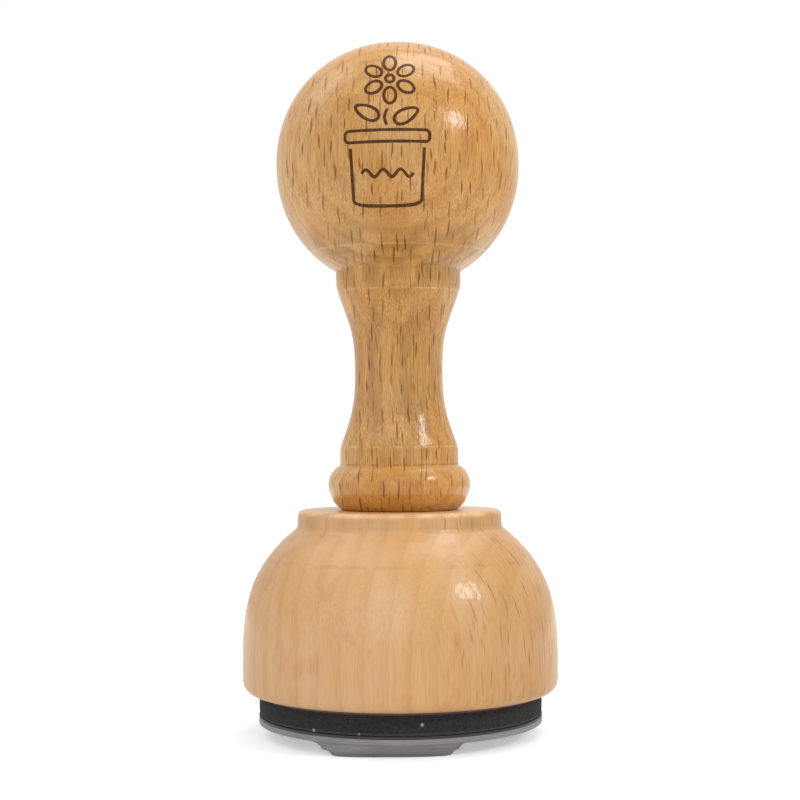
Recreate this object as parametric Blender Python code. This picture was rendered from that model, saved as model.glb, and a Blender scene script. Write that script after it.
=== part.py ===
"""Wooden hand stamp: a turned beech handle on a domed base, a foam cushion and an engraved rubber die.

Metres, +Z up the turned axis. The origin is the centre of the printing face, and the front faces -Y.
The handle, base, screw, upper film and foam stay together, and the lower film and the die slide up as the
foam gives.
"""

from math import atan2, cos, hypot, pi, radians, sin

import bmesh
import bpy
from mathutils import Vector

MM = 0.001

# Fits
GLUE_LINE = 0.05 * MM  # between flat faces that are stuck together
ROUND_CLEARANCE = 0.3 * MM  # between a round piece and the bore that it sits in
END_CLEARANCE = 0.5 * MM  # between the end of a piece and the floor of its bore

# Rubber die, from the printing face up
RIDGE_HEIGHT = 0.7 * MM  # printed lines above the ground between them
GROUND_HEIGHT = 1.1 * MM  # raised ground above the backing
BACKING_THICKNESS = 0.8 * MM
LINE_WIDTH = 0.7 * MM
LINE_FLARE = 0.15 * MM  # widening on each side at a line's root
POT_FLARE = 0.55 * MM  # more at the pot's, whose flank runs on into the slope round the ground
SHOULDER_WIDTH = 1.8 * MM  # slope round the raised ground
SHOULDER_FOOT_STEP = 0.05 * MM  # upright edge where the slope meets the backing
SHOULDER_BENDS = ((0.0, 0.0), (0.2, 0.45), (0.5, 0.8))  # shares of its width and of the ground's height
EDGE_MARGIN = 0.2 * MM  # backing left outside the slope
ROOT_MARGIN = 0.4 * MM  # backing left outside a line's root
ROOT_DEPTH = 0.3 * MM  # how far raised forms run into what carries them

# Cushion stack: die, film, foam and film are cut to one disc
PAD_RADIUS = 20.0 * MM
DIE_FILM_THICKNESS = 0.3 * MM
FOAM_THICKNESS = 2.7 * MM
BASE_FILM_THICKNESS = 0.4 * MM

# Base
BASE_RADIUS = 22.3 * MM
BASE_HEIGHT = 25.35 * MM
FOOT_ROUND_WIDTH = 1.3 * MM
FOOT_ROUND_HEIGHT = 1.8 * MM
WALL_HEIGHT = 4.3 * MM  # where the dome starts above the underside
WALL_PULL = 7.6 * MM  # how long the dome keeps the wall's direction
SHOULDER_PULL = 8.8 * MM  # how long it keeps the shoulder's
SHOULDER_SLOPE = radians(37)
COLLAR_HEIGHT = 2.45 * MM
COLLAR_TOP_RADIUS = 14.38 * MM
COLLAR_FOOT_RADIUS = 14.45 * MM
COLLAR_EDGE_ROUND = 0.7 * MM

# Handle, heights above its seat on the base
BEAD_FOOT_RADIUS = 8.2 * MM
BEAD_RADIUS = 10.03 * MM
BEAD_MIDDLE = 3.57 * MM
BEAD_TOP = 6.28 * MM
LOWER_COLLAR_RADIUS = 8.37 * MM
LOWER_COLLAR_TOP = 8.7 * MM
LOWER_FLARE_PULL = 3.9 * MM
LOWER_FLARE_SLOPE = radians(19)
LOWER_WAIST_PULL = 5.5 * MM
WAIST_RADIUS = 6.2 * MM
WAIST = 19.5 * MM
UPPER_WAIST_PULL = 6.7 * MM
UPPER_FLARE_SLOPE = radians(16)
UPPER_FLARE_PULL = 5.2 * MM
UPPER_COLLAR_RADIUS = 8.83 * MM
UPPER_COLLAR_FOOT = 31.7 * MM
UPPER_COLLAR_TOP = 33.75 * MM
BALL_RADIUS = 17.15 * MM
BALL_FULLNESS = 2.07  # 2 is a true ball, and more swells it between top, side and foot

# Spigot that locates the handle in the base
SPIGOT_RADIUS = 5.0 * MM
SPIGOT_LENGTH = 4.0 * MM
SPIGOT_CHAMFER = 0.5 * MM

# Countersunk wood screw, driven up through the base into the handle
SCREW_LENGTH = 40.0 * MM
SCREW_RADIUS = 2.0 * MM  # over the thread
SCREW_CORE_RADIUS = 1.4 * MM
SCREW_HEAD_RADIUS = 4.0 * MM
SCREW_HEAD_RIM = 0.4 * MM
SCREW_SINK = 0.3 * MM  # head above the underside of the wood
SCREW_POINT_LENGTH = 4.0 * MM
THREAD_LENGTH = 24.0 * MM
THREAD_PITCH = 1.8 * MM
THREAD_ROOT = 1.0 * MM  # height of the ridge where it leaves the core
THREAD_BURY = 0.15 * MM
THREAD_RUN_OUT = 1.8 * MM  # smooth point beyond the last turn
THREAD_FADE_STEPS = 4  # over which the ridge grows at each end
THREAD_END_SHARE = 0.4  # of its height, left at its ends
RECESS_SPAN = 4.4 * MM
RECESS_SLOT = 1.0 * MM
RECESS_DEPTH = 1.6 * MM
RECESS_FLOOR_SHARE = 0.6  # of the recess's span, left at its floor
RECESS_LEAD = 0.2 * MM  # how far the cutter starts outside the head

# Facets
HANDLE_STEPS = 48
BASE_STEPS = 64
SCREW_STEPS = 16
THREAD_STEPS = 12  # in one turn
BALL_STEPS = 15
FLARE_STEPS = 7
BEAD_STEPS = 4
DOME_STEPS = 11
ROUND_STEPS = 3
GROUND_STEPS = 3  # between two points of its outline
SHARP_ANGLE = radians(32)

# Heights of the stack above the printing face
BACKING_FOOT = RIDGE_HEIGHT + GROUND_HEIGHT
DIE_FILM_FOOT = BACKING_FOOT + BACKING_THICKNESS + GLUE_LINE
FOAM_FOOT = DIE_FILM_FOOT + DIE_FILM_THICKNESS + GLUE_LINE
BASE_FILM_FOOT = FOAM_FOOT + FOAM_THICKNESS + GLUE_LINE
BASE_FOOT = BASE_FILM_FOOT + BASE_FILM_THICKNESS + GLUE_LINE
HANDLE_FOOT = BASE_FOOT + BASE_HEIGHT + GLUE_LINE
SCREW_FOOT = BASE_FOOT + SCREW_SINK

# Bores, each from the foot of the piece that it is in
SPIGOT_BORE_RADIUS = SPIGOT_RADIUS + ROUND_CLEARANCE
SPIGOT_BORE_FLOOR = BASE_HEIGHT + GLUE_LINE - SPIGOT_LENGTH - END_CLEARANCE
HEAD_BORE_RADIUS = SCREW_HEAD_RADIUS + ROUND_CLEARANCE
SCREW_BORE_RADIUS = SCREW_RADIUS + ROUND_CLEARANCE
PILOT_BORE_TOP = SCREW_FOOT + SCREW_LENGTH + END_CLEARANCE - HANDLE_FOOT
DRILL_POINT = 0.6  # height of a drilled bore's end cone as a share of its radius

# The die's motif, a flower in a pot, laid out from the disc's centre
POT_X = -1.2 * MM
POT_TOP = -5.2 * MM
POT_TOP_HALF_WIDTH = 8.2 * MM
POT_FOOT = -16.2 * MM
POT_FOOT_HALF_WIDTH = 7.6 * MM
POT_BELLY = 1.6 * MM  # how far the pot's curved floor hangs below its foot
POT_CORNER_PULL = 1.2 * MM
POT_FLOOR_PULL = 5.6 * MM
POT_FLOOR_STEPS = 7  # from its middle to a corner
RIM_Y = -2.6 * MM
RIM_HALF_WIDTH = 9.4 * MM
RIM_HALF_HEIGHT = 1.3 * MM
RIM_CORNER = 0.9 * MM
WAVE_Y = -10.8 * MM
WAVE_HALF_WIDTH = 5.8 * MM
WAVE_HEIGHT = 0.8 * MM
WAVE_COUNT = 3
WAVE_STEPS = 6  # in one wave
STEM_FOOT = (-1.3 * MM, -0.2 * MM)
STEM_PULLS = ((-2.0 * MM, 1.1 * MM), (-1.9 * MM, 2.4 * MM))
STEM_TOP = (-1.1 * MM, 3.5 * MM)
STEM_STEPS = 4
LEAF_HALF_LENGTH = 2.9 * MM
LEAF_HALF_WIDTH = 1.45 * MM
LEAF_POINT = 0.25  # how much a leaf narrows towards its tip
LEAF_STEPS = 10
LEAVES = ((-5.7 * MM, 2.9 * MM, radians(150)), (3.0 * MM, 2.0 * MM, radians(30)))
FLOWER = (-0.6 * MM, 10.9 * MM)
EYE_RADIUS = 0.95 * MM
EYE_STEPS = 10
PETAL_COUNT = 6
PETAL_DISTANCE = 4.15 * MM
PETAL_HALF_LENGTH = 1.95 * MM
PETAL_HALF_WIDTH = 1.35 * MM
PETAL_STEPS = 12

# Outline of the raised ground under the motif, anticlockwise from its front middle
GROUND_OUTLINE = (
    (-1.2 * MM, -18.9 * MM),
    (4.2 * MM, -18.6 * MM),
    (7.3 * MM, -17.1 * MM),
    (8.2 * MM, -12.0 * MM),
    (9.0 * MM, -3.6 * MM),
    (8.7 * MM, -0.8 * MM),
    (7.3 * MM, 1.6 * MM),
    (7.0 * MM, 6.0 * MM),
    (6.6 * MM, 11.2 * MM),
    (4.2 * MM, 15.8 * MM),
    (-0.6 * MM, 18.0 * MM),
    (-5.4 * MM, 15.8 * MM),
    (-8.0 * MM, 11.2 * MM),
    (-9.5 * MM, 6.2 * MM),
    (-9.6 * MM, 2.0 * MM),
    (-11.1 * MM, -0.8 * MM),
    (-11.4 * MM, -3.6 * MM),
    (-10.8 * MM, -12.0 * MM),
    (-10.1 * MM, -16.5 * MM),
    (-6.6 * MM, -18.6 * MM),
)


def clear_scene():
    for thing in list(bpy.data.objects):
        bpy.data.objects.remove(thing)


def material(name, colour, roughness, metallic=0.0):
    made = bpy.data.materials.new(name)
    made.use_nodes = True
    shader = made.node_tree.nodes["Principled BSDF"]
    shader.inputs["Base Color"].default_value = (*colour, 1.0)
    shader.inputs["Roughness"].default_value = roughness
    shader.inputs["Metallic"].default_value = metallic
    made.diffuse_color = (*colour, 1.0)
    return made


def axis_empty(name, parent=None):
    """An empty on the turned axis, which carries the pieces that move together."""
    empty = bpy.data.objects.new(name, None)
    empty.empty_display_size = PAD_RADIUS
    empty.parent = parent
    bpy.context.scene.collection.objects.link(empty)
    return empty


def placed(name, bm, look, height, parent):
    """The mesh as an object whose origin stands on the turned axis, at that height."""
    bmesh.ops.recalc_face_normals(bm, faces=bm.faces)
    mesh = bpy.data.meshes.new(name)
    bm.to_mesh(mesh)
    bm.free()
    mesh.shade_smooth()
    mesh.set_sharp_from_angle(angle=SHARP_ANGLE)
    mesh.materials.append(look)
    made = bpy.data.objects.new(name, mesh)
    bpy.context.scene.collection.objects.link(made)
    made.location.z = height
    made.parent = parent
    return made


def combine(target, helper, operation):
    """A Boolean that stays on the target, with its helper hidden."""
    modifier = target.modifiers.new(helper.name, "BOOLEAN")
    modifier.operation = operation
    modifier.solver = "EXACT"
    modifier.use_self = True
    modifier.object = helper
    helper.hide_render = True
    helper.display_type = "WIRE"


def curve(start, first_pull, last_pull, end, steps):
    """Points of a cubic curve after its start, up to its end."""
    points = []
    for i in range(1, steps + 1):
        t = i / steps
        weights = ((1 - t) ** 3, 3 * (1 - t) ** 2 * t, 3 * (1 - t) * t**2, t**3)
        corners = (start, first_pull, last_pull, end)
        points.append(tuple(sum(w * c[k] for w, c in zip(weights, corners)) for k in (0, 1)))
    return points


def bulge(end, widest, steps):
    """Points of an arc from its end to its widest place, where it is upright, both included."""
    across = widest[0] - end[0]
    along = end[1] - widest[1]
    arc_radius = (across**2 + along**2) / (2 * across)
    centre = widest[0] - arc_radius
    full = atan2(along, arc_radius - across)
    angles = [full * (1 - i / steps) for i in range(steps + 1)]
    return [(centre + arc_radius * cos(a), widest[1] + arc_radius * sin(a)) for a in angles]


def turned(profile, steps, ring=False):
    """A profile of (radius, height) points, turned about the axis. A ring's profile closes on itself."""
    bm = bmesh.new()
    points = [bm.verts.new((radius, 0, height)) for radius, height in profile]
    pairs = list(zip(points, points[1:]))
    if ring:
        pairs.append((points[-1], points[0]))
    edges = [bm.edges.new(pair) for pair in pairs]
    geometry = points + edges
    bmesh.ops.spin(bm, geom=geometry, axis=(0, 0, 1), angle=2 * pi, steps=steps, use_merge=True)
    bmesh.ops.remove_doubles(bm, verts=bm.verts, dist=0.001 * MM)
    return bm


def bridge(bm, rings, closed=False):
    """Walls between rings of equal length. They close in a loop, or the two ends are filled."""
    pairs = list(zip(rings, rings[1:]))
    if closed:
        pairs.append((rings[-1], rings[0]))
    else:
        bm.faces.new(rings[0])
        bm.faces.new(rings[-1])
    for low, high in pairs:
        for j in range(len(low)):
            k = (j + 1) % len(low)
            bm.faces.new((low[j], low[k], high[k], high[j]))


def ball_point(angle):
    """Radius and height of the ball's outline about its own centre, at that angle from its top."""
    across = abs(sin(angle)) ** BALL_FULLNESS
    along = abs(cos(angle)) ** BALL_FULLNESS
    reach = BALL_RADIUS * (across + along) ** (-1 / BALL_FULLNESS)
    return reach * sin(angle), reach * cos(angle)


def handle_profile():
    """Down the outside from the ball's top, round the spigot, and up the pilot bore."""
    ball_drop = (BALL_RADIUS**BALL_FULLNESS - UPPER_COLLAR_RADIUS**BALL_FULLNESS) ** (1 / BALL_FULLNESS)
    ball_centre = UPPER_COLLAR_TOP + ball_drop
    full = atan2(UPPER_COLLAR_RADIUS, -ball_drop)
    ball = [ball_point(full * i / BALL_STEPS) for i in range(1, BALL_STEPS)]
    upper_collar = (UPPER_COLLAR_RADIUS, UPPER_COLLAR_FOOT)
    upper_pull = (
        UPPER_COLLAR_RADIUS - UPPER_FLARE_PULL * sin(UPPER_FLARE_SLOPE),
        UPPER_COLLAR_FOOT - UPPER_FLARE_PULL * cos(UPPER_FLARE_SLOPE),
    )
    lower_collar = (LOWER_COLLAR_RADIUS, LOWER_COLLAR_TOP)
    lower_pull = (
        LOWER_COLLAR_RADIUS - LOWER_FLARE_PULL * sin(LOWER_FLARE_SLOPE),
        LOWER_COLLAR_TOP + LOWER_FLARE_PULL * cos(LOWER_FLARE_SLOPE),
    )
    waist = (WAIST_RADIUS, WAIST)
    above_waist = (WAIST_RADIUS, WAIST + UPPER_WAIST_PULL)
    below_waist = (WAIST_RADIUS, WAIST - LOWER_WAIST_PULL)
    bead = (BEAD_RADIUS, BEAD_MIDDLE)
    profile = [(0.0, ball_centre + BALL_RADIUS)]
    profile += [(radius, ball_centre + height) for radius, height in ball]
    profile += [(UPPER_COLLAR_RADIUS, UPPER_COLLAR_TOP), upper_collar]
    profile += curve(upper_collar, upper_pull, above_waist, waist, FLARE_STEPS)
    profile += curve(waist, below_waist, lower_pull, lower_collar, FLARE_STEPS)
    profile += bulge((LOWER_COLLAR_RADIUS, BEAD_TOP), bead, BEAD_STEPS)
    profile += bulge((BEAD_FOOT_RADIUS, 0.0), bead, BEAD_STEPS)[-2::-1]
    profile += [
        (SPIGOT_RADIUS, 0.0),
        (SPIGOT_RADIUS, SPIGOT_CHAMFER - SPIGOT_LENGTH),
        (SPIGOT_RADIUS - SPIGOT_CHAMFER, -SPIGOT_LENGTH),
        (SCREW_BORE_RADIUS, -SPIGOT_LENGTH),
        (SCREW_BORE_RADIUS, PILOT_BORE_TOP),
        (0.0, PILOT_BORE_TOP + DRILL_POINT * SCREW_BORE_RADIUS),
    ]
    return profile


def base_profile():
    """Down the outside from the collar's top, across the underside, and up the screw and spigot bores."""
    quarter = [pi / 2 * i / ROUND_STEPS for i in range(ROUND_STEPS + 1)]
    edge_radius = COLLAR_TOP_RADIUS - COLLAR_EDGE_ROUND
    edge_height = BASE_HEIGHT - COLLAR_EDGE_ROUND
    shoulder = (COLLAR_FOOT_RADIUS, BASE_HEIGHT - COLLAR_HEIGHT)
    shoulder_pull = (
        shoulder[0] + SHOULDER_PULL * cos(SHOULDER_SLOPE),
        shoulder[1] - SHOULDER_PULL * sin(SHOULDER_SLOPE),
    )
    wall = (BASE_RADIUS, WALL_HEIGHT)
    wall_pull = (BASE_RADIUS, WALL_HEIGHT + WALL_PULL)
    foot_radius = BASE_RADIUS - FOOT_ROUND_WIDTH
    cone_foot = SCREW_SINK + SCREW_HEAD_RIM
    profile = [
        (edge_radius + COLLAR_EDGE_ROUND * sin(a), edge_height + COLLAR_EDGE_ROUND * cos(a))
        for a in quarter
    ]
    profile.append(shoulder)
    profile += curve(shoulder, shoulder_pull, wall_pull, wall, DOME_STEPS)
    profile += [
        (foot_radius + FOOT_ROUND_WIDTH * cos(a), FOOT_ROUND_HEIGHT * (1 - sin(a)))
        for a in quarter
    ]
    profile += [
        (HEAD_BORE_RADIUS, 0.0),
        (HEAD_BORE_RADIUS, cone_foot),
        (SCREW_BORE_RADIUS, cone_foot + HEAD_BORE_RADIUS - SCREW_BORE_RADIUS),
        (SCREW_BORE_RADIUS, SPIGOT_BORE_FLOOR),
        (SPIGOT_BORE_RADIUS, SPIGOT_BORE_FLOOR),
        (SPIGOT_BORE_RADIUS, BASE_HEIGHT),
    ]
    return profile


def screw_profile():
    """Down the outside from the point to the head."""
    return [
        (0.0, SCREW_LENGTH),
        (SCREW_CORE_RADIUS, SCREW_LENGTH - SCREW_POINT_LENGTH),
        (SCREW_CORE_RADIUS, SCREW_HEAD_RIM + SCREW_HEAD_RADIUS - SCREW_CORE_RADIUS),
        (SCREW_HEAD_RADIUS, SCREW_HEAD_RIM),
        (SCREW_HEAD_RADIUS, 0.0),
        (0.0, 0.0),
    ]


def thread():
    """The screw's ridge: a triangle that winds round the core, rooted in it, and fades at both ends."""
    start = SCREW_LENGTH - THREAD_LENGTH
    full_turn = 2 * pi * (THREAD_LENGTH - THREAD_RUN_OUT) / THREAD_PITCH
    count = round(full_turn * THREAD_STEPS / (2 * pi))
    bm = bmesh.new()
    rings = []
    for i in range(count + 1):
        turn = full_turn * i / count
        height = start + THREAD_PITCH * turn / (2 * pi)
        share = min(1.0, (SCREW_LENGTH - height) / SCREW_POINT_LENGTH)
        strength = max(THREAD_END_SHARE, min(1.0, i / THREAD_FADE_STEPS, (count - i) / THREAD_FADE_STEPS))
        core = SCREW_CORE_RADIUS * share
        root = core - THREAD_BURY
        crest = root + (core + SCREW_RADIUS - SCREW_CORE_RADIUS - root) * strength
        corners = ((root, -THREAD_ROOT / 2), (crest, 0.0), (root, THREAD_ROOT / 2))
        rings.append([bm.verts.new((r * cos(turn), r * sin(turn), height + z)) for r, z in corners])
    bridge(bm, rings)
    return bm


def cross_recess():
    """A tapered cross to be cut into the screw's head, which starts a little outside the head's face."""
    arm = RECESS_SPAN / 2
    slot = RECESS_SLOT / 2
    quarter_turns = ((1, 0), (0, 1), (-1, 0), (0, -1))
    corners = ((arm, -slot), (arm, slot), (slot, slot))
    outline = [(x * c - y * s, x * s + y * c) for c, s in quarter_turns for x, y in corners]
    bm = bmesh.new()
    rings = []
    for z in (-RECESS_LEAD, RECESS_DEPTH):
        share = 1 - (1 - RECESS_FLOOR_SHARE) * z / RECESS_DEPTH
        rings.append([bm.verts.new((x * share, y * share, z)) for x, y in outline])
    bridge(bm, rings)
    return bm


def disc(thickness):
    """A disc of the pad's size that stands on its own origin."""
    bm = bmesh.new()
    bmesh.ops.create_circle(bm, cap_ends=True, segments=BASE_STEPS, radius=PAD_RADIUS)
    foot = list(bm.faces)
    made = bmesh.ops.extrude_face_region(bm, geom=foot, use_keep_orig=True)["geom"]
    top = [v for v in made if isinstance(v, bmesh.types.BMVert)]
    bmesh.ops.translate(bm, verts=top, vec=(0, 0, thickness))
    return bm


def loop(centre, half_length, half_width, turn, steps, point=0.0):
    """A closed oval, which can narrow towards one end before it is turned."""
    points = []
    for i in range(steps):
        a = 2 * pi * i / steps
        x = half_length * cos(a)
        y = half_width * sin(a) * (1 - point * cos(a))
        points.append(
            (centre[0] + x * cos(turn) - y * sin(turn), centre[1] + x * sin(turn) + y * cos(turn))
        )
    return points


def pot_line():
    """Down the pot's left side, along its curved floor and up its right side."""
    floor = (0.0, POT_FOOT - POT_BELLY)
    corner = (POT_FOOT_HALF_WIDTH, POT_FOOT)
    floor_pull = (POT_FLOOR_PULL, floor[1])
    corner_pull = (corner[0], corner[1] - POT_CORNER_PULL)
    half = curve(floor, floor_pull, corner_pull, corner, POT_FLOOR_STEPS)
    half.append((POT_TOP_HALF_WIDTH, POT_TOP))
    left = [(POT_X - x, y) for x, y in reversed(half)]
    return left + [(POT_X, floor[1])] + [(POT_X + x, y) for x, y in half]


def rim_line():
    """A rectangle with rounded corners."""
    quarter = [pi / 2 * i / ROUND_STEPS for i in range(ROUND_STEPS + 1)]
    points = []
    for side_x, side_y, start in ((1, 1, 0), (-1, 1, pi / 2), (-1, -1, pi), (1, -1, 3 * pi / 2)):
        x = POT_X + side_x * (RIM_HALF_WIDTH - RIM_CORNER)
        y = RIM_Y + side_y * (RIM_HALF_HEIGHT - RIM_CORNER)
        points += [(x + RIM_CORNER * cos(start + a), y + RIM_CORNER * sin(start + a)) for a in quarter]
    return points


def wave_line():
    count = WAVE_COUNT * WAVE_STEPS
    phases = [2 * pi * i / WAVE_STEPS for i in range(count + 1)]
    return [
        (POT_X + WAVE_HALF_WIDTH * (2 * i / count - 1), WAVE_Y + WAVE_HEIGHT * sin(a))
        for i, a in enumerate(phases)
    ]


def motif_lines():
    """Each line of the motif as its points, whether it closes, and how far its root widens."""
    lines = [(pot_line(), False, POT_FLARE), (rim_line(), True, LINE_FLARE), (wave_line(), False, LINE_FLARE)]
    stem = [STEM_FOOT, *curve(STEM_FOOT, *STEM_PULLS, STEM_TOP, STEM_STEPS)]
    lines.append((stem, False, LINE_FLARE))
    for x, y, turn in LEAVES:
        leaf = loop((x, y), LEAF_HALF_LENGTH, LEAF_HALF_WIDTH, turn, LEAF_STEPS, LEAF_POINT)
        lines.append((leaf, True, LINE_FLARE))
    lines.append((loop(FLOWER, EYE_RADIUS, EYE_RADIUS, 0.0, EYE_STEPS), True, LINE_FLARE))
    for i in range(PETAL_COUNT):
        turn = pi / 2 + 2 * pi * i / PETAL_COUNT
        centre = (FLOWER[0] + PETAL_DISTANCE * cos(turn), FLOWER[1] + PETAL_DISTANCE * sin(turn))
        petal = loop(centre, PETAL_HALF_LENGTH, PETAL_HALF_WIDTH, turn, PETAL_STEPS)
        lines.append((petal, True, LINE_FLARE))
    return lines


def sideways(points, closed):
    """At each point the direction across the line, longer where the line turns, so that its width holds."""
    spots = [Vector(p) for p in points]
    steps = [(b - a).normalized() for a, b in zip(spots, spots[1:])]
    if closed:
        steps.append((spots[0] - spots[-1]).normalized())
    before = [steps[-1 if closed else 0]] + steps
    after = steps + ([] if closed else [steps[-1]])
    across = []
    for a, b in zip(before, after):
        left = Vector((-a.y, a.x))
        right = Vector((-b.y, b.x))
        across.append((left + right) / (1 + left.dot(right)))
    return across


def trimmed(x, y, limit):
    """The point, drawn in towards the axis where it would pass the limit."""
    inside = min(1.0, limit / hypot(x, y))
    return x * inside, y * inside


def raised_lines():
    """The motif's lines as ridges, flat at the printing face and rooted in the raised ground."""
    root_height = RIDGE_HEIGHT + ROOT_DEPTH
    face_half = LINE_WIDTH / 2
    limit = PAD_RADIUS - ROOT_MARGIN
    bm = bmesh.new()
    for points, closed, flare in motif_lines():
        root_half = face_half + flare * root_height / RIDGE_HEIGHT
        corners = ((-face_half, 0.0), (face_half, 0.0), (root_half, root_height), (-root_half, root_height))
        rings = []
        for (x, y), side in zip(points, sideways(points, closed)):
            ring = [(*trimmed(x + side.x * w, y + side.y * w, limit), z) for w, z in corners]
            rings.append([bm.verts.new(corner) for corner in ring])
        bridge(bm, rings, closed)
    return bm


def smooth_outline():
    """The raised ground's outline as a smooth closed curve through its points."""
    count = len(GROUND_OUTLINE)
    points = []
    for i in range(count):
        a, b, c, d = (Vector(GROUND_OUTLINE[(i + k) % count]) for k in (-1, 0, 1, 2))
        leaving = (c - a) / 2
        arriving = (d - b) / 2
        for step in range(GROUND_STEPS):
            t = step / GROUND_STEPS
            eased = t * t * (3 - 2 * t)
            spot = b.lerp(c, eased) + leaving * t * (1 - t) ** 2 - arriving * t * t * (1 - t)
            points.append(spot)
    return points


def raised_ground():
    """The ground that carries the ridges, with a sloping shoulder down to the backing."""
    outline = smooth_outline()
    across = sideways(outline, True)
    limit = PAD_RADIUS - EDGE_MARGIN
    levels = [(share, RIDGE_HEIGHT + drop * GROUND_HEIGHT) for share, drop in SHOULDER_BENDS]
    levels += [(1.0, BACKING_FOOT - SHOULDER_FOOT_STEP), (1.0, BACKING_FOOT + ROOT_DEPTH)]
    bm = bmesh.new()
    rings = []
    for share, height in levels:
        ring = []
        for spot, side in zip(outline, across):
            x, y = spot - side * SHOULDER_WIDTH * share
            ring.append(bm.verts.new((*trimmed(x, y, limit), height)))
        rings.append(ring)
    bridge(bm, rings)
    return bm


def make_handle(parent):
    look = material("handle_beech", (0.52, 0.29, 0.12), 0.38)
    placed("handle", turned(handle_profile(), HANDLE_STEPS), look, HANDLE_FOOT, parent)


def make_base(parent):
    look = material("base_beech", (0.66, 0.40, 0.19), 0.38)
    placed("base", turned(base_profile(), BASE_STEPS, ring=True), look, BASE_FOOT, parent)


def make_screw(parent):
    look = material("screw_steel", (0.55, 0.55, 0.53), 0.35, 1.0)
    screw = placed("fixing_screw", turned(screw_profile(), SCREW_STEPS), look, SCREW_FOOT, parent)
    combine(screw, placed("screw_thread", thread(), look, SCREW_FOOT, parent), "UNION")
    combine(screw, placed("screw_recess", cross_recess(), look, SCREW_FOOT, parent), "DIFFERENCE")


def make_cushion(stamp, die_slide):
    film = material("adhesive_film", (0.05, 0.03, 0.028), 0.45)
    foam = material("black_foam", (0.03, 0.027, 0.026), 0.95)
    placed("base_adhesive_film", disc(BASE_FILM_THICKNESS), film, BASE_FILM_FOOT, stamp)
    placed("cushion_foam", disc(FOAM_THICKNESS), foam, FOAM_FOOT, stamp)
    placed("die_adhesive_film", disc(DIE_FILM_THICKNESS), film, DIE_FILM_FOOT, die_slide)


def make_die(parent):
    look = material("grey_rubber", (0.24, 0.23, 0.23), 0.7)
    die = disc(BACKING_THICKNESS)
    bmesh.ops.translate(die, verts=die.verts, vec=(0, 0, BACKING_FOOT))
    die = placed("rubber_die", die, look, 0.0, parent)
    combine(die, placed("die_ground", raised_ground(), look, 0.0, parent), "UNION")
    combine(die, placed("die_lines", raised_lines(), look, 0.0, parent), "UNION")


def main():
    clear_scene()
    stamp = axis_empty("stamp")
    die_slide = axis_empty("die_slide", stamp)
    make_handle(stamp)
    make_base(stamp)
    make_screw(stamp)
    make_cushion(stamp, die_slide)
    make_die(die_slide)


main()
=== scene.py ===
from dataclasses import dataclass
from math import atan2, cos, hypot, pi, radians, sin, sqrt

import bmesh
import bpy
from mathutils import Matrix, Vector, noise


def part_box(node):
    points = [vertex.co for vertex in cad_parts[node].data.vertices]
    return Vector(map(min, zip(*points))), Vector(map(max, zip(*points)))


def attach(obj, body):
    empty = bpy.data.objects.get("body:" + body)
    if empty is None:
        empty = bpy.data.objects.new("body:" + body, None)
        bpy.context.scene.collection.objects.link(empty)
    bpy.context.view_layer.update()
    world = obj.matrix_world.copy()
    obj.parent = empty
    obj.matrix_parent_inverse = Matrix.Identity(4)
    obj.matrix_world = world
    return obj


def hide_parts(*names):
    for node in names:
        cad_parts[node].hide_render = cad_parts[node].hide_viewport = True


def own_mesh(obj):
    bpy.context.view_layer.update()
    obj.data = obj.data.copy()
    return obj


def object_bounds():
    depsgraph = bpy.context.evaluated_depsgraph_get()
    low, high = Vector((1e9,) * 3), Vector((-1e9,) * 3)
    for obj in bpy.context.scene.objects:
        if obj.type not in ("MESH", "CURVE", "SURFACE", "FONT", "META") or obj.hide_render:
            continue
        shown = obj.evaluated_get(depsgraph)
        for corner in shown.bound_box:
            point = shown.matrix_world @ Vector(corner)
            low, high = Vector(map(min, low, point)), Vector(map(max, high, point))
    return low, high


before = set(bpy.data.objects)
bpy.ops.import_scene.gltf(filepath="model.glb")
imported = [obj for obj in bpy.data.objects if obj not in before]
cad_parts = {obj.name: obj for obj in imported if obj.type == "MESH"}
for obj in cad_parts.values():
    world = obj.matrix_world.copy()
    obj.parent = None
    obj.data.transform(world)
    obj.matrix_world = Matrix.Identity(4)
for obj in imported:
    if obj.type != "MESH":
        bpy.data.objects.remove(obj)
cad_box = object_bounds()

MM = 0.001

# Camera, read from the photograph's ellipses
CAMERA_DISTANCE = 230.0 * MM  # from the turned axis
CAMERA_HEIGHT = 42.4 * MM  # above the printing face
CAMERA_SIDE = 0.13 * MM
CAMERA_ROLL = radians(0.33)
SENSOR_WIDTH = 36.0  # the camera's own unit, millimetres on the film
IMAGE_WIDTH_PX = 800
FOCAL_LENGTH_PX = 1620
HORIZON_DROP_PX = 33  # horizon below the image's middle
NEAREST_SEEN = 10.0 * MM

# Films and die
PAD_RADIUS = 20.0 * MM
UPPER_FILM_EDGE = 0.03 * MM  # how far the edges of its disc are eased
LOWER_FILM_EDGE = 0.04 * MM
BACKING_EDGE = 0.12 * MM
RIDGE_HEIGHT = 0.7 * MM  # from the printing face up to the raised ground
GROUND_HEIGHT = 1.1 * MM  # from there up to the backing
LINE_WIDTH = 0.7 * MM
LINE_FLARE = 0.15 * MM  # about how much a ridge widens to its foot, on each side
POT_FLARE = 0.55 * MM
LINE_EDGE_ROUND = 0.07 * MM
SHOULDER_WIDTH = 1.8 * MM
EDGE_MARGIN = 0.2 * MM  # from the ground's shoulder to the pad's edge, at least
ROOT_MARGIN = 0.4 * MM  # from a ridge to the pad's edge, at least
ROOT_DEPTH = 0.3 * MM  # how deep ridges and ground sit in what carries them
KNEE_DEPTH = 0.1 * MM  # how deep in the ground a ridge stops widening

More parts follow.
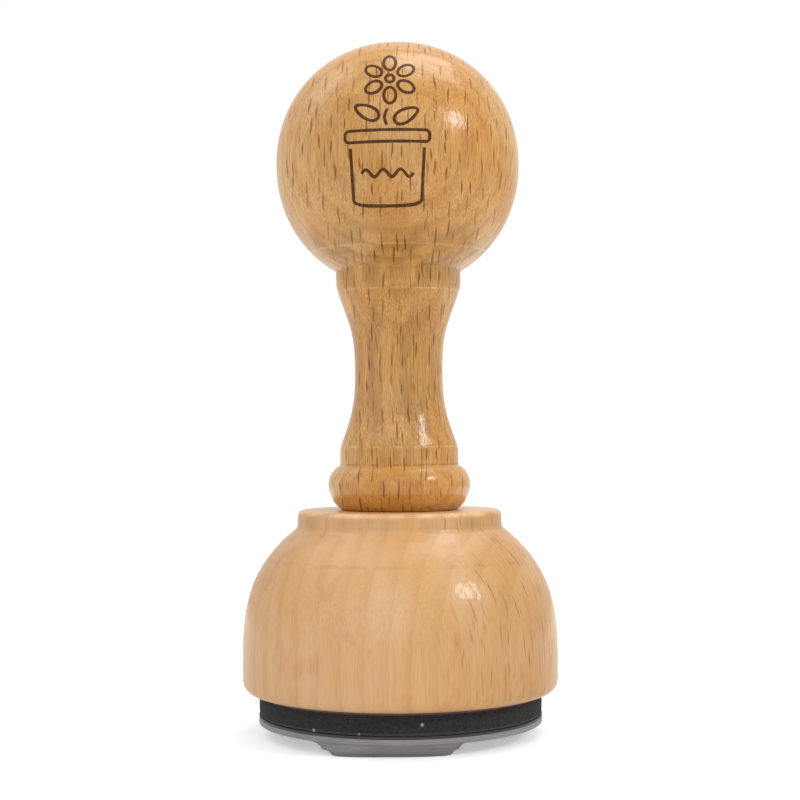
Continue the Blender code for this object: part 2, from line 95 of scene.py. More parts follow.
# Foam, cut through its cells
FOAM_ROWS = 26
FOAM_COLUMNS = 720
FOAM_CELL = 0.30 * MM
FOAM_PIT_REACH = 0.62  # from a cell's middle, in cells
FOAM_PIT_DEPTH = 0.16 * MM  # for each cell's length within that reach
FOAM_EDGE_PITS = 0.35  # share of that depth along its two faces
FOAM_BULGE = 0.09 * MM  # how far its side stands out between its faces
FOAM_WAVE = 0.03 * MM  # how far the cut wanders to either side
FOAM_WAVE_LENGTH = 2.2 * MM
FOAM_SHEEN_RISE = 0.22  # painted highlight on a pale pinched line above its lower face, in mm
FOAM_SHEEN_HALF_WIDTH = 0.11
FOAM_LINT = (  # turn from the front, then rise above its lower face and size, in mm
    (radians(-35.2), 0.25, 0.34),
    (radians(-15.8), 0.23, 0.24),
    (radians(8.1), 1.50, 0.33),
)

# Base, heights above its underside
BASE_RADIUS = 22.3 * MM
BASE_HEIGHT = 25.35 * MM
FOOT_ROUND_WIDTH = 1.3 * MM
FOOT_ROUND_HEIGHT = 1.8 * MM
WALL_HEIGHT = 4.3 * MM
WALL_PULL = 7.6 * MM
SHOULDER_PULL = 8.8 * MM
SHOULDER_SLOPE = radians(37)
COLLAR_HEIGHT = 2.45 * MM
COLLAR_TOP_RADIUS = 14.38 * MM
COLLAR_FOOT_RADIUS = 14.45 * MM
COLLAR_EDGE_ROUND = 0.7 * MM

# Handle, heights above its seat on the base
BEAD_FOOT_RADIUS = 8.2 * MM
BEAD_RADIUS = 10.03 * MM
BEAD_MIDDLE = 3.57 * MM
BEAD_TOP = 6.28 * MM
LOWER_COLLAR_RADIUS = 8.37 * MM
LOWER_COLLAR_TOP = 8.7 * MM
LOWER_FLARE_PULL = 3.9 * MM
LOWER_FLARE_SLOPE = radians(19)
LOWER_WAIST_PULL = 5.5 * MM
WAIST_RADIUS = 6.2 * MM
WAIST = 19.5 * MM
UPPER_WAIST_PULL = 6.7 * MM
UPPER_FLARE_SLOPE = radians(16)
UPPER_FLARE_PULL = 5.2 * MM
UPPER_COLLAR_RADIUS = 8.83 * MM
UPPER_COLLAR_FOOT = 31.7 * MM
UPPER_COLLAR_TOP = 33.75 * MM
BALL_RADIUS = 17.15 * MM
BALL_FULLNESS = 2.07  # 2 is a true ball, and more swells it between top, side and foot
LATHE_LINES = ((radians(135.4), 0.03 * MM), (radians(137.1), 0.02 * MM))  # from the ball's top, and depth
LATHE_LINE_HALF_WIDTH = 0.05 * MM

# Bores
SPIGOT_RADIUS = 5.0 * MM
SPIGOT_LENGTH = 4.0 * MM
SPIGOT_CHAMFER = 0.5 * MM
ROUND_CLEARANCE = 0.3 * MM
END_CLEARANCE = 0.5 * MM
GLUE_LINE = 0.05 * MM
SCREW_LENGTH = 40.0 * MM
SCREW_RADIUS = 2.0 * MM
SCREW_HEAD_RADIUS = 4.0 * MM
SCREW_HEAD_RIM = 0.4 * MM
SCREW_SINK = 0.3 * MM
DRILL_POINT = 0.6

# How finely the turned pieces are divided
TURN_STEPS = 256
BALL_STEPS = 72
FLARE_STEPS = 36
BEAD_STEPS = 18
DOME_STEPS = 56
ROUND_STEPS = 8
CORNER_REACH = 0.2 * MM  # how far a corner left by the chisel is eased
WORN_REACH = 0.75 * MM  # at the neck's two collars, where fingers wear it
COVE_REACH = 0.5 * MM  # at the foot of the base's collar
WIDE_STEPS = 10
CORNER_STEPS = 4
CORNER_TURN = radians(12)  # gentler bends stay as they are
CORNER_SHARE = 0.45  # most of a side that the curve at its end may take
SAME_POINT = 0.0005 * MM  # points nearer than this become one
SHARP_FROM = radians(40)  # edges that turn by more stay sharp

# The motif, a flower in a pot, laid out at the die's scale
POT_X = -1.2 * MM
POT_TOP = -5.2 * MM
POT_TOP_HALF_WIDTH = 8.2 * MM
POT_FOOT = -16.2 * MM
POT_FOOT_HALF_WIDTH = 7.6 * MM
POT_BELLY = 1.6 * MM
POT_CORNER_PULL = 1.2 * MM
POT_FLOOR_PULL = 5.6 * MM
RIM_Y = -2.6 * MM
RIM_HALF_WIDTH = 9.4 * MM
RIM_HALF_HEIGHT = 1.3 * MM
RIM_CORNER = 0.9 * MM
WAVE_Y = -10.8 * MM
WAVE_HALF_WIDTH = 5.8 * MM
WAVE_HEIGHT = 0.8 * MM
WAVE_COUNT = 3
STEM_FOOT = (-1.3 * MM, -0.2 * MM)
STEM_PULLS = ((-2.0 * MM, 1.1 * MM), (-1.9 * MM, 2.4 * MM))
STEM_TOP = (-1.1 * MM, 3.5 * MM)
LEAF_HALF_LENGTH = 2.9 * MM
LEAF_HALF_WIDTH = 1.45 * MM
LEAF_POINT = 0.25
LEAVES = ((-5.7 * MM, 2.9 * MM, radians(150)), (3.0 * MM, 2.0 * MM, radians(30)))
FLOWER = (-0.6 * MM, 10.9 * MM)
EYE_RADIUS = 0.95 * MM
PETAL_COUNT = 6
PETAL_DISTANCE = 4.15 * MM
PETAL_HALF_LENGTH = 1.95 * MM
PETAL_HALF_WIDTH = 1.35 * MM
MOTIF_STEPS = 48  # points of a closed line or a wave

# The same motif in ink on the ball
DRAWING_SHRINK = 1.68  # die's size over the drawing's
DRAWING_SIDE = -1.32 * MM  # middle of the drawing from the axis
DRAWING_RISE = 2.6 * MM  # middle of the drawing above the ball's centre
MOTIF_MIDDLE = (-1.2 * MM, -0.4 * MM)
INK_WIDTH = 0.42 * MM
INK_PROUD = 0.012 * MM
INK_BURY = 0.08 * MM
INK_STEP = 0.22 * MM  # longest stretch of a line between two points
INK_WOBBLE = 0.16  # share by which a line's width varies
INK_WOBBLE_LENGTH = 1.6 * MM
INK_CROWN = 0.6  # share of a line's width that its flat top takes

# Noise in the materials, in cells to a millimetre, for both ways across the axis and along it
DRIFT_CELLS = (0.05, 0.05, 0.016)
FIBRE_CELLS = (6.5, 6.5, 0.30)
STREAK_CELLS = (1.3, 1.3, 0.05)
CLOUD_CELLS = (0.13, 0.13, 0.06)
STAIN_CELLS = (0.27, 0.27, 0.20)
RIPPLE_CELLS = (1.4, 1.4, 0.7)
PATCH_CELLS = (0.35, 0.35, 0.0)
INK_SOAK_CELLS = (5.0, 5.0, 0.6)
FOAM_CUT_CELLS = (4.2, 4.2, 4.2)
FOAM_GRAIN_CELLS = (1.8, 1.8, 1.8)
FILM_CELLS = (1.6, 1.6, 6.0)
RUBBER_BLOOM_CELLS = (0.35, 0.35, 0.9)
RUBBER_GRAIN_SCALE = 9.0
DRAWN_STEEL_CELLS = (1.5, 1.5, 26.0)
DRIFT_REACH = 3.0  # full range in which the beech's grain wanders, in mm

# Depth of the materials' relief
BEECH_RELIEF = 0.012 * MM
INK_RELIEF = 0.006 * MM
FOAM_RELIEF = 0.06 * MM
FILM_RELIEF = 0.02 * MM
RUBBER_RELIEF = 0.012 * MM
STEEL_RELIEF = 0.01 * MM

# Rays of the beech
RAY_SCATTER = 0.85  # how far from an even pattern they lie
RAY_SLANT = 0.11  # full range of their slant to the grain
RAY_SWAY = 0.6  # full range in which their rows sway, in mm
RAY_FAINTEST = 0.5
SMALL_RAY_SHIFT = 7.3  # keeps the small rays' pattern apart from the large ones', in mm

# Tones that multiply the beech's own colour
RAY_TONE = (0.42, 0.26, 0.05)
RING_TONE = (0.56, 0.42, 0.32)
STAIN_TONE = (0.86, 0.66, 0.52)
STREAK_TONE = (0.62, 0.48, 0.36)
DARK_FIBRE_TONE = (0.50, 0.36, 0.24)
PALE_FIBRE_TONE = (1.30, 1.45, 1.70)
# dark brown: dirt lines, and painted shade just below the ball's lathe line and in the crease above the bead
GRIME_AND_SHADE = (0.30, 0.17, 0.09)
# painted shade: darker and greyer on the ball's underside and down the neck, where the ball shades them
PAINTED_SHADE = (0.15, 0.19, 0.22)
# paler: the lathe's pale lines on the handle, and a painted highlight along the base's rim
PALE_MARK_AND_HIGHLIGHT = (1.55, 1.75, 2.2)

# Colours of the other materials, as linear light. A pair is the two that its grain runs between.
INK_COLOURS = ((0.070, 0.026, 0.006), (0.150, 0.070, 0.022))
FOAM_COLOURS = ((0.024, 0.023, 0.023), (0.044, 0.042, 0.041))
FOAM_CELL_COLOUR = (0.013, 0.012, 0.012)
# painted highlight along the foam's pinched line
FOAM_SHEEN_COLOUR = (0.085, 0.082, 0.080)
LINT_COLOUR = (0.40, 0.39, 0.37)
# dark red-brown adhesive; its red is partly a painted reflection of the wood above it
UPPER_FILM_AND_REFLECTION_COLOURS = ((0.060, 0.018, 0.015), (0.095, 0.028, 0.022))
# near-black adhesive, darkened further as painted shade under the foam's eased lower edge
LOWER_FILM_AND_SHADE_COLOURS = ((0.014, 0.013, 0.013), (0.022, 0.021, 0.021))
RUBBER_COLOURS = ((0.228, 0.217, 0.215), (0.262, 0.250, 0.248))
RUBBER_GRAIN_COLOUR = (0.19, 0.182, 0.181)
ZINC_COLOURS = ((0.46, 0.46, 0.45), (0.63, 0.63, 0.61))

# Outline of the raised ground under the motif, anticlockwise from its front middle
GROUND_OUTLINE = (
    (-1.2 * MM, -18.9 * MM),
    (4.2 * MM, -18.6 * MM),
    (7.3 * MM, -17.1 * MM),
    (8.2 * MM, -12.0 * MM),
    (9.0 * MM, -3.6 * MM),
    (8.7 * MM, -0.8 * MM),
    (7.3 * MM, 1.6 * MM),
    (7.0 * MM, 6.0 * MM),
    (6.6 * MM, 11.2 * MM),
    (4.2 * MM, 15.8 * MM),
    (-0.6 * MM, 18.0 * MM),
    (-5.4 * MM, 15.8 * MM),
    (-8.0 * MM, 11.2 * MM),
    (-9.5 * MM, 6.2 * MM),
    (-9.6 * MM, 2.0 * MM),
    (-11.1 * MM, -0.8 * MM),
    (-11.4 * MM, -3.6 * MM),
    (-10.8 * MM, -12.0 * MM),
    (-10.1 * MM, -16.5 * MM),
    (-6.6 * MM, -18.6 * MM),
)
GROUND_STEPS = 9
GROUND_LEVELS = 10
GROUND_PULLS = ((0.15, 0.45), (0.5, 1.0))  # of its shoulder's curve, as shares of its width and height

# Stage
FILL_TINT = (0.93, 1.0, 1.10)
WORLD_LIGHT = 0.58  # strength of the white world where it lights the stamp
FLOOR_WHITE = (0.82, 0.82, 0.82)
FLOOR_RADIUS = 400.0 * MM
FLOOR_SIDES = 96
SHADOW_REACH = 50.0 * MM  # the floor's own shade is kept this far from the axis
FULL_GLOW_FROM = FLOOR_RADIUS * 0.7
FLOOR_GLOW = 0.42  # added within the shadow's reach to its lit white

# Places of the stack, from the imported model
HANDLE_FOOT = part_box("base")[1].z + GLUE_LINE
BASE_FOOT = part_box("base")[0].z
BALL_DROP = (BALL_RADIUS**BALL_FULLNESS - UPPER_COLLAR_RADIUS**BALL_FULLNESS) ** (1 / BALL_FULLNESS)
BALL_CENTRE = HANDLE_FOOT + UPPER_COLLAR_TOP + BALL_DROP
BACKING_FOOT = RIDGE_HEIGHT + GROUND_HEIGHT


@dataclass
class Blank:
    """A blank of beech, with its lengths in millimetres."""

    name: str
    pale: tuple
    warm: tuple
    face_tone_and_shade: tuple  # multiplies the colour of faces that look to bark or pith: the grain's own tone, and on the base, whose two sides these are, painted shade as well
    bark: float  # where the bark lies, turned from +X about Z
    pith_distance: float
    rays: tuple  # room, half-lengths and half-width of their dashes
    small_rays: tuple
    ray_depths: tuple  # strength of the rays and of the small ones
    bark_faces: tuple  # shares of facing the bark between which the rays come in
    pith_faces: tuple  # the same for the pith, and their strength there
    ring_gap: float
    depths: tuple  # strength of rings, fibres and stains
    marks: tuple  # bands round the piece: height, half-width, strength and tone; dirt, pale lathe lines, painted shade and painted highlight
    lacquer: float


HANDLE_BLANK = Blank(
    name="beech_tangential",
    pale=(0.648, 0.374, 0.128),
    warm=(0.622, 0.317, 0.077),
    face_tone_and_shade=(0.94, 0.89, 0.84),
    bark=radians(-88),
    pith_distance=42.0,
    rays=((1.45, 3.4), (0.9, 1.55), 0.125),
    small_rays=((0.8, 2.2), (0.35, 0.6), 0.05),
    ray_depths=(1.0, 0.7),
    bark_faces=(0.15, 0.45),
    pith_faces=(0.52, 0.80, 1.0),
    ring_gap=1.7,
    depths=(0.24, 0.46, 0.3),
    marks=(
        # painted shade just below the ball's lathe line
        (67.3, 0.5, 0.10, GRIME_AND_SHADE),
        # painted shade, on the ball's underside and down the whole neck
        (66.5, 6.0, 0.26, PAINTED_SHADE),
        (51.0, 15.0, 0.28, PAINTED_SHADE),
        # dirt and painted shade in the crease above the bead
        (38.0, 0.16, 0.45, GRIME_AND_SHADE),
        (67.95, 0.14, 0.5, PALE_MARK_AND_HIGHLIGHT),
        (62.35, 0.16, 0.45, PALE_MARK_AND_HIGHLIGHT),
        (40.5, 0.13, 0.5, PALE_MARK_AND_HIGHLIGHT),
    ),
    lacquer=0.54,
)
BASE_BLANK = Blank(
    name="beech_radial",
    pale=(0.674, 0.413, 0.206),
    warm=(0.648, 0.366, 0.153),
    # on the base's two sides this tone is painted shade as well as grain
    face_tone_and_shade=(0.82, 0.78, 0.65),
    bark=radians(-12),
    pith_distance=64.0,
    rays=((1.3, 4.6), (1.1, 2.1), 0.10),
    small_rays=((0.7, 3.0), (0.5, 0.9), 0.05),
    ray_depths=(0.62, 0.45),
    bark_faces=(0.32, 0.75),
    pith_faces=(0.45, 0.85, 0.40),
    ring_gap=3.1,
    depths=(0.12, 0.14, 0.45),
    marks=(
        # a darker band down the collar's side, then a brown line across the dome
        (30.0, 1.2, 0.10, GRIME_AND_SHADE),
        (24.8, 0.40, 0.10, GRIME_AND_SHADE),
        # painted highlight along the collar's rounded rim
        (31.25, 0.42, 0.42, PALE_MARK_AND_HIGHLIGHT),
    ),
    lacquer=0.40,
)


class Graph:
    """A node tree under construction. Each call adds what it needs and gives back its output."""

    def __init__(self, owner):
        owner.use_nodes = True
        self.nodes = owner.node_tree.nodes
        self.links = owner.node_tree.links

    def feed(self, socket, value):
        """Links or sets the socket. A colour of three numbers is opaque."""
        if isinstance(value, bpy.types.NodeSocket):
            self.links.new(value, socket)
        elif socket.type == "RGBA":
            socket.default_value = (*value, 1.0)
        else:
            socket.default_value = value

    def add(self, kind, *values, **settings):
        """A node of that kind, with its settings and its first inputs."""
        node = self.nodes.new("ShaderNode" + kind)
        for name, setting in settings.items():
            setattr(node, name, setting)
        for socket, value in zip(node.inputs, values):
            self.feed(socket, value)
        return node

    def math(self, operation, *values, clamp=False):
        return self.add("Math", *values, operation=operation, use_clamp=clamp).outputs[0]

    def plus(self, first, second):
        return self.math("ADD", first, second)

    def minus(self, first, second):
        return self.math("SUBTRACT", first, second)

    def times(self, first, second):
        return self.math("MULTIPLY", first, second)

    def larger(self, first, second):
        return self.math("MAXIMUM", first, second)

    def size(self, value):
        """The value without its sign."""
        return self.math("ABSOLUTE", value)

    def vector(self, operation, *values):
        node = self.add("VectorMath", *values, operation=operation)
        return node.outputs["Value" if operation in ("LENGTH", "DOT_PRODUCT") else "Vector"]

    def stretch(self, place, scales):
        return self.vector("MULTIPLY", place, scales)

    def split(self, place):
        return self.add("SeparateXYZ", place).outputs

    def join(self, x, y, z=0.0):
        return self.add("CombineXYZ", x, y, z).outputs[0]

    def ease(self, value, low, high, start=0.0, end=1.0):
        """A smooth step from start at low to end at high."""
        node = self.add("MapRange", value, low, high, start, end, interpolation_type="SMOOTHSTEP")
        return node.outputs[0]

    def noise(self, place, scale=1.0, detail=2.0, roughness=0.5, colour=False):
        node = self.add("TexNoise", place)
        for name, value in (("Scale", scale), ("Detail", detail), ("Roughness", roughness)):
            node.inputs[name].default_value = value
        return node.outputs["Color" if colour else "Fac"]

    def cells(self, place, **settings):
        """A cell of random shape round each of many points, one to each unit of space."""
        node = self.add("TexVoronoi", place, **settings)
        node.inputs["Scale"].default_value = 1.0
        return node

    def mix(self, share, first, second, blend="MIX"):
        node = self.add("Mix", share, data_type="RGBA", blend_type=blend)
        colours = node.inputs[6:8]  # after those for numbers and vectors
        for socket, value in zip(colours, (first, second)):
            self.feed(socket, value)
        return node.outputs[2]

    def shade(self, share, colour, tone):
        return self.mix(share, colour, tone, "MULTIPLY")

    def bump(self, height, depth):
        node = self.add("Bump")
        node.inputs["Distance"].default_value = depth
        self.feed(node.inputs["Height"], height)
        return node.outputs[0]

    def band(self, along, place, half_width):
        """One at that place, down to nought at the band's edges."""
        return self.ease(self.size(self.minus(along, place)), half_width * 0.3, half_width, 1.0, 0.0)


class Look(Graph):
    """A material under construction."""

    def __init__(self, name):
        self.material = bpy.data.materials.new(name)
        super().__init__(self.material)
        self.shader = self.nodes["Principled BSDF"]
        coordinates = self.add("TexCoord").outputs
        self.facing = coordinates["Normal"]
        self.spot = coordinates["Object"]  # in metres of the part's own frame
        self.place = self.stretch(self.spot, (1 / MM, 1 / MM, 1 / MM))  # the same in millimetres

    def set(self, **values):
        """Shader inputs by name, with underscores for spaces."""
        for name, value in values.items():
            self.feed(self.shader.inputs[name.replace("_", " ")], value)

    def lacquer(self, weight):
        """A satin coat over a surface that hardly shines itself."""
        self.set(Specular_IOR_Level=0.05, Coat_Weight=weight, Coat_Roughness=0.18, Coat_IOR=1.5)


def dashes(look, across, along, room, half_lengths, half_width, faintest):
    """Slim spindles along the grain, one to a cell of that room, unlike in length, slant and strength."""
    place = look.join(look.math("DIVIDE", across, room[0]), look.math("DIVIDE", along, room[1]))
    cells = look.cells(place, voronoi_dimensions="2D")
    cells.inputs["Randomness"].default_value = RAY_SCATTER
    offset = look.stretch(look.vector("SUBTRACT", place, cells.outputs["Position"]), (*room, 0.0))
    aside, ahead, _ = look.split(offset)
    length_draw, slant_draw, strength_draw = look.add("SeparateColor", cells.outputs["Color"]).outputs
    share = look.math("DIVIDE", ahead, look.ease(length_draw, 0.0, 1.0, *half_lengths))
    half = look.times(look.math("SUBTRACT", 1.0, look.times(share, share), clamp=True), half_width)
    slant = look.times(look.minus(slant_draw, 0.5), RAY_SLANT)
    away = look.size(look.minus(aside, look.times(ahead, slant)))
    dash = look.ease(away, look.times(half, 0.55), half, 1.0, 0.0)
    return look.times(dash, look.ease(strength_draw, 0.0, 1.0, faintest, 1.0))


def grain_axes(look, blank):
    """Distances from the pith towards the bark, sideways and along the grain, which wanders a little."""
    drift = look.noise(look.stretch(look.place, DRIFT_CELLS), colour=True)
    drift = look.vector("SUBTRACT", drift, (0.5, 0.5, 0.5))
    drift = look.stretch(drift, (DRIFT_REACH, DRIFT_REACH, DRIFT_REACH))
    x, y, along = look.split(look.vector("ADD", look.place, drift))
    bark_x = cos(blank.bark)
    bark_y = sin(blank.bark)
    out = look.plus(look.plus(look.times(x, bark_x), look.times(y, bark_y)), blank.pith_distance)
    side = look.minus(look.times(y, bark_x), look.times(x, bark_y))
    return out, side, along


def fine_fibres(look, grain):
    """Fibres that stand out less where the end grain faces out."""
    fibres = look.noise(look.stretch(grain, FIBRE_CELLS), detail=3.0, roughness=0.6)
    end_grain = look.ease(look.size(look.split(look.facing)[2]), 0.30, 0.85)
    contrast = look.minus(1.0, look.times(end_grain, 0.6))
    return look.plus(look.times(look.minus(fibres, 0.5), contrast), 0.5)


def growth_rings(look, out, side, clouds, ring_gap):
    """Each ring darkens slowly through its year, and ends at once."""
    radius = look.math("SQRT", look.plus(look.times(out, out), look.times(side, side)))
    year = look.math("FRACT", look.plus(look.math("DIVIDE", radius, ring_gap), look.times(clouds, 0.5)))
    return look.times(look.ease(year, 0.35, 0.90), look.ease(year, 0.92, 1.0, 1.0, 0.0))


def dark_rays(look, out, side, along, facing_bark, blank):
    """The rays as dashes, where they come out through the face."""
    across = look.times(look.math("ARCTAN2", side, out), blank.pith_distance)
    sway = look.times(look.noise(look.join(across, look.times(along, 0.6)), scale=0.4), RAY_SWAY)
    swayed = look.plus(across, sway)
    large = dashes(look, swayed, along, *blank.rays, RAY_FAINTEST)
    small = dashes(look, look.plus(swayed, SMALL_RAY_SHIFT), along, *blank.small_rays, 0.0)
    low, high, pith_share = blank.pith_faces
    shows = look.larger(
        look.ease(facing_bark, *blank.bark_faces),
        look.ease(facing_bark, -low, -high, 0.0, pith_share),
    )
    large_depth, small_depth = blank.ray_depths
    return look.times(look.larger(look.times(large, large_depth), look.times(small, small_depth)), shows)


def beech(blank):
    """Lacquered beech with rings about a distant pith, fine fibres, rays, stains, and bands round the piece:
    dirt, pale lathe lines, painted shade and painted highlight.
    """
    look = Look(blank.name)
    out, side, along = grain_axes(look, blank)
    grain = look.join(out, side, along)
    facing_bark = look.vector("DOT_PRODUCT", look.facing, (cos(blank.bark), sin(blank.bark), 0.0))
    fibres = fine_fibres(look, grain)
    streaks = look.noise(look.stretch(grain, STREAK_CELLS))
    clouds = look.noise(look.stretch(look.place, CLOUD_CELLS), detail=1.0)
    stains = look.noise(look.stretch(look.place, STAIN_CELLS))
    ripple = look.noise(look.stretch(look.place, RIPPLE_CELLS), detail=1.0)
    patchy = look.ease(look.noise(look.stretch(look.place, PATCH_CELLS)), 0.35, 0.60)
    rays = dark_rays(look, out, side, along, facing_bark, blank)
    rings = growth_rings(look, out, side, clouds, blank.ring_gap)
    height = look.split(look.place)[2]

    ring_depth, fibre_depth, stain_depth = blank.depths
    shades = [
        # faces turned to bark or pith: grain tone, and painted shade on the base's two sides
        (look.ease(look.size(facing_bark), 0.30, 0.95), blank.face_tone_and_shade),
        (look.ease(stains, 0.56, 0.74, 0.0, stain_depth), STAIN_TONE),
        (look.times(rings, ring_depth), RING_TONE),
        (look.ease(streaks, 0.42, 0.72, 0.0, fibre_depth * 0.6), STREAK_TONE),
        (look.ease(fibres, 0.45, 0.78, 0.0, fibre_depth * 1.6), DARK_FIBRE_TONE),
        (look.ease(fibres, 0.48, 0.26, 0.0, fibre_depth), PALE_FIBRE_TONE),
    ]
    # bands of dirt and pale lathe lines, and of painted shade and painted highlight, broken up by patchy
    # noise
    for middle, half_width, strength, tone in blank.marks:
        mark = look.times(look.band(height, middle, half_width), patchy)
        shades.append((look.times(mark, strength), tone))
    shades.append((rays, RAY_TONE))
    colour = look.mix(look.ease(clouds, 0.36, 0.64), blank.pale, blank.warm)
    for share, tone in shades:
        colour = look.shade(share, colour, tone)

    relief = look.minus(look.times(fibres, 0.6), look.times(rays, 0.8))
    skin = look.bump(look.plus(relief, look.times(ripple, 4.6)), BEECH_RELIEF)
    look.set(Base_Color=colour, Roughness=look.ease(fibres, 0.3, 0.7, 0.44, 0.54), Normal=skin)
    look.lacquer(blank.lacquer)
    look.set(Coat_Normal=skin)
    return look.material


def foam_look():
    """Fine-celled black foam, cut through its cells, with a little lint caught in them."""
    look = Look("black_foam_cells")
    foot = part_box("cushion_foam")[0].z / MM
    near = look.cells(look.stretch(look.place, FOAM_CUT_CELLS)).outputs["Distance"]
    grain = look.noise(look.stretch(look.place, FOAM_GRAIN_CELLS), detail=4.0, roughness=0.7)
    colour = look.mix(look.ease(grain, 0.32, 0.72), *FOAM_COLOURS)
    colour = look.mix(look.ease(near, 0.25, 0.62, 0.0, 0.5), colour, FOAM_CELL_COLOUR)
    # a painted highlight along the pinched line above the lower face
    edge_sheen = look.band(look.split(look.place)[2], foot + FOAM_SHEEN_RISE, FOAM_SHEEN_HALF_WIDTH)
    colour = look.mix(look.times(edge_sheen, 0.7), colour, FOAM_SHEEN_COLOUR)
    for turn, rise, size in FOAM_LINT:
        spot = (PAD_RADIUS / MM * sin(turn), -PAD_RADIUS / MM * cos(turn), foot + rise)
        away = look.vector("LENGTH", look.vector("SUBTRACT", look.place, spot))
        colour = look.mix(look.ease(away, size * 0.4, size, 0.75, 0.0), colour, LINT_COLOUR)
    relief = look.plus(look.ease(near, 0.1, 0.6), look.times(grain, 0.6))
    look.set(Base_Color=colour, Normal=look.bump(relief, FOAM_RELIEF))
    look.set(Roughness=0.92, Specular_IOR_Level=0.25)
    return look.material


def film_look(name, colours):
    """Thin adhesive film with a slightly uneven cut edge."""
    look = Look(name)
    grain = look.noise(look.stretch(look.place, FILM_CELLS), detail=3.0)
    look.set(Base_Color=look.mix(look.ease(grain, 0.35, 0.7), *colours))
    look.set(Roughness=look.ease(grain, 0.2, 0.8, 0.38, 0.6), Normal=look.bump(grain, FILM_RELIEF))
    return look.material


def rubber_look():
    """Matt mid-grey rubber with a faint bloom and a fine moulded grain."""
    look = Look("grey_rubber_moulded")
    bloom = look.noise(look.stretch(look.place, RUBBER_BLOOM_CELLS), detail=3.0)
    grain = look.noise(look.place, scale=RUBBER_GRAIN_SCALE)
    colour = look.mix(look.ease(bloom, 0.3, 0.7), *RUBBER_COLOURS)
    colour = look.mix(look.ease(grain, 0.55, 0.8, 0.0, 0.25), colour, RUBBER_GRAIN_COLOUR)
    look.set(Base_Color=colour, Roughness=look.ease(grain, 0.3, 0.7, 0.58, 0.72))
    look.set(Normal=look.bump(grain, RUBBER_RELIEF), Specular_IOR_Level=0.4)
    return look.material


def ink_look():
    """Dark brown-grey ink under the lacquer, thinner where the wood's fibres drank it."""
    look = Look("drawing_ink")
    soak = look.noise(look.stretch(look.place, INK_SOAK_CELLS), detail=3.0, roughness=0.6)
    look.set(Base_Color=look.mix(look.ease(soak, 0.45, 0.8), *INK_COLOURS))
    look.set(Roughness=0.45, Normal=look.bump(soak, INK_RELIEF))
    look.lacquer(0.14)
    return look.material


def steel_look():
    """Zinc-plated steel with drawn marks round the screw."""
    look = Look("screw_zinc")
    marks = look.noise(look.stretch(look.place, DRAWN_STEEL_CELLS), detail=3.0)
    look.set(Base_Color=look.mix(marks, *ZINC_COLOURS), Metallic=1.0)
    look.set(Roughness=look.ease(marks, 0.3, 0.7, 0.26, 0.42), Normal=look.bump(marks, STEEL_RELIEF))
    return look.material


def curve(start, first_pull, last_pull, end, steps):
    """Points of a cubic curve after its start, up to its end."""
    corners = (start, first_pull, last_pull, end)
    points = []
    for i in range(1, steps + 1):
        t = i / steps
        weights = ((1 - t) ** 3, 3 * (1 - t) ** 2 * t, 3 * (1 - t) * t**2, t**3)
        point = [sum(weight * corner[axis] for weight, corner in zip(weights, corners)) for axis in (0, 1)]
        points.append(tuple(point))
    return points


def bulge(end, widest, steps):
    """Points of an arc from its end to its widest place, where it is upright, both included."""
    across = widest[0] - end[0]
    along = end[1] - widest[1]
    arc_radius = (across**2 + along**2) / (2 * across)
    centre = widest[0] - arc_radius
    full = atan2(along, arc_radius - across)
    angles = [full * (1 - i / steps) for i in range(steps + 1)]
    return [(centre + arc_radius * cos(a), widest[1] + arc_radius * sin(a)) for a in angles]


def softened(profile, corner, reach):
    """The profile with a wide curve in the place of one corner and of its near neighbours."""
    points = [Vector(p) for p in profile]
    corner = min(points, key=lambda p: (p - Vector(corner)).length)
    place = points.index(corner)
    before = [p for p in points[:place] if (p - corner).length > reach]
    after = [p for p in points[place + 1 :] if (p - corner).length > reach]
    start = corner + (before[-1] - corner).normalized() * reach
    end = corner + (after[0] - corner).normalized() * reach
    shares = [i / WIDE_STEPS for i in range(WIDE_STEPS + 1)]
    bend = [start * (1 - t) ** 2 + corner * 2 * t * (1 - t) + end * t**2 for t in shares]
    return [tuple(p) for p in before + bend + after]


def eased(profile, reach):
    """The profile with each sharp corner cut to a small curve."""
    points = [Vector(p) for p in profile]
    result = [points[0]]
    for before, corner, after in zip(points, points[1:], points[2:]):
        back = before - corner
        ahead = after - corner
        if pi - back.angle(ahead) < CORNER_TURN:
            result.append(corner)
            continue
        start = corner + back.normalized() * min(reach, back.length * CORNER_SHARE)
        end = corner + ahead.normalized() * min(reach, ahead.length * CORNER_SHARE)
        for i in range(CORNER_STEPS + 1):
            t = i / CORNER_STEPS
            result.append(start * (1 - t) ** 2 + corner * 2 * t * (1 - t) + end * t**2)
    return result + [points[-1]]


def added(name, data):
    """A new object in the scene."""
    made = bpy.data.objects.new(name, data)
    bpy.context.scene.collection.objects.link(made)
    return made


def closed_mesh(name, bm, height=0.0):
    """The closed shape as a mesh, lifted to that height."""
    bmesh.ops.recalc_face_normals(bm, faces=bm.faces)
    bmesh.ops.translate(bm, verts=bm.verts, vec=(0, 0, height))
    mesh = bpy.data.meshes.new(name)
    bm.to_mesh(mesh)
    bm.free()
    return mesh


def finished(name, bm, look, height, body):
    """The shape as a smooth piece at that height, which rides on its body."""
    mesh = closed_mesh(name, bm, height)
    mesh.shade_smooth()
    mesh.set_sharp_from_angle(angle=SHARP_FROM)
    mesh.materials.append(look)
    piece = added(name, mesh)
    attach(piece, body)
    return piece


